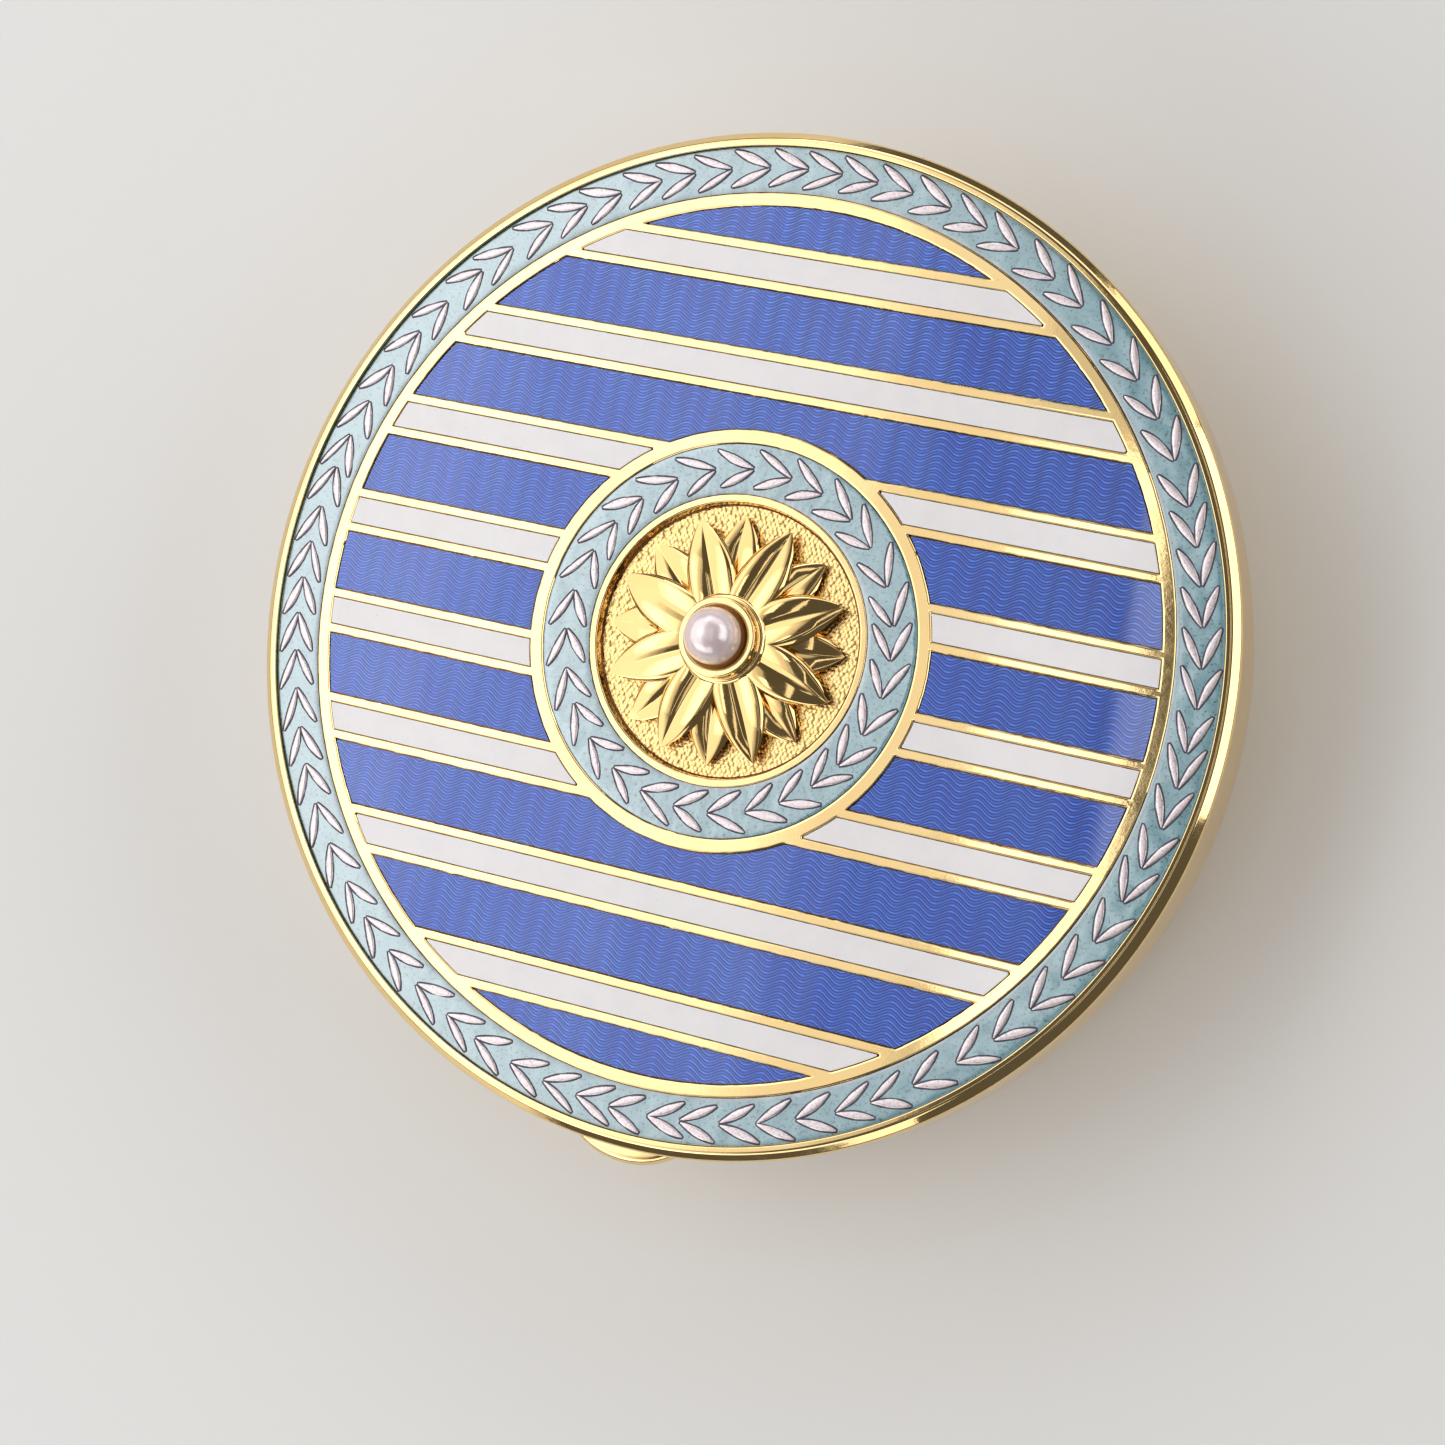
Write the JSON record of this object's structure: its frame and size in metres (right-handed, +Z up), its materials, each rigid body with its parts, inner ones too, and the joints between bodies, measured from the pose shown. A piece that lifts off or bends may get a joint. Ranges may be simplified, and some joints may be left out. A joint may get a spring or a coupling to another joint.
{
  "type": "pill box",
  "caption": "Round hinged pill box in gilt metal: striped enamel lid with leaf rings, a petal rosette and a pearl, over a shallow bowl base with a bezel.",
  "frame": {"origin": "centre of the flat underside", "axes": "+Z up through the lid, +X along the lid's stripes, +Y towards the hinge; the thumbpiece is at -Y"},
  "size_m": [0.05, 0.0511, 0.0152],
  "materials": {
    "polished_gold": "polished gilt metal with fine wear along edges",
    "matted_gold": "gilt metal, matted all over with a round punch",
    "blue_enamel": "translucent blue enamel over wavy engine turning, polished",
    "white_enamel": "opaque white enamel, polished, with faint specks",
    "teal_enamel": "speckled blue-green enamel, polished",
    "leaf_foil": "pinkish silver foil under clear enamel, with dark outlines",
    "pearl": "lustrous pinkish white nacre"
  },
  "bodies": {
    "base": {"base_bowl": "polished_gold", "bottom_plate": "polished_gold", "bezel_ring": "polished_gold", "catch_bead": "polished_gold", "hinge_saddle": "polished_gold", "base_knuckles": "polished_gold", "hinge_pin": "polished_gold"},
    "lid": {"lid_rim": "polished_gold", "enamel_plate": "polished_gold", "lid_lining": "polished_gold", "thumbpiece": "polished_gold", "lid_knuckles": "polished_gold", "blue_enamel_1": "blue_enamel", "blue_enamel_2": "blue_enamel", "blue_enamel_3": "blue_enamel", "blue_enamel_4": "blue_enamel", "blue_enamel_5": "blue_enamel", "blue_enamel_6": "blue_enamel", "blue_enamel_7": "blue_enamel", "blue_enamel_8": "blue_enamel", "blue_enamel_9": "blue_enamel", "blue_enamel_10": "blue_enamel", "blue_enamel_11": "blue_enamel", "blue_enamel_12": "blue_enamel", "white_enamel_1": "white_enamel", "white_enamel_2": "white_enamel", "white_enamel_3": "white_enamel", "white_enamel_4": "white_enamel", "white_enamel_5": "white_enamel", "white_enamel_6": "white_enamel", "white_enamel_7": "white_enamel", "white_enamel_8": "white_enamel", "white_enamel_9": "white_enamel", "white_enamel_10": "white_enamel", "white_enamel_11": "white_enamel", "white_enamel_12": "white_enamel", "outer_enamel_ring": "teal_enamel", "inner_enamel_ring": "teal_enamel", "outer_leaves": "leaf_foil", "inner_leaves": "leaf_foil", "medallion_ground": "matted_gold", "back_petals": "polished_gold", "front_petals": "polished_gold", "rosette_stud": "polished_gold", "collet": "polished_gold", "pearl_peg": "polished_gold", "pearl": "pearl"}
  },
  "joints": [
    {"name": "lid_hinge", "type": "hinge", "parent": "base", "child": "lid", "pos_m": [0, 0.0246, 0.009], "axis": [-1, 0, 0], "range_deg": [0, 105]}
  ]
}
